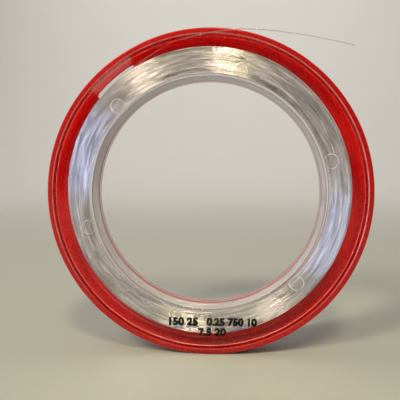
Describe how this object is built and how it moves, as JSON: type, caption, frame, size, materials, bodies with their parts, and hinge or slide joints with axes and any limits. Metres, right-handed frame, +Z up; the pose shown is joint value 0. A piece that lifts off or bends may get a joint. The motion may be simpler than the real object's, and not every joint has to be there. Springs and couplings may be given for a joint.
{
  "type": "fishing line spool",
  "caption": "Flat fishing line spool: a clear bobbin of wound monofilament turns inside a red case with a wide open bore, and the line's cut end leaves past the clear front flange.",
  "frame": {"origin": "middle of the bore, half way through the spool's width", "axes": "+Y along the spool's axis, from the clear front to the red back; +Z up with the spool standing on its rim; +X to the right seen from the front"},
  "size_m": [0.112, 0.0128, 0.112],
  "materials": {
    "red_plastic": "glossy injection moulded polystyrene, bright red, slightly translucent",
    "clear_plastic": "clear polystyrene, polished mould, faint flow marks",
    "wound_line": "many turns of clear nylon monofilament, silvery, streaked round the axis",
    "free_line": "single clear nylon monofilament"
  },
  "bodies": {
    "case": {"case": "red_plastic", "line_end": "free_line"},
    "bobbin": {"line_bobbin": "clear_plastic", "line_winding": "wound_line"}
  },
  "joints": [
    {"name": "bobbin_spin", "type": "hinge", "parent": "case", "child": "bobbin", "pos_m": [0, 0, 0], "axis": [0, 1, 0], "continuous": true}
  ]
}
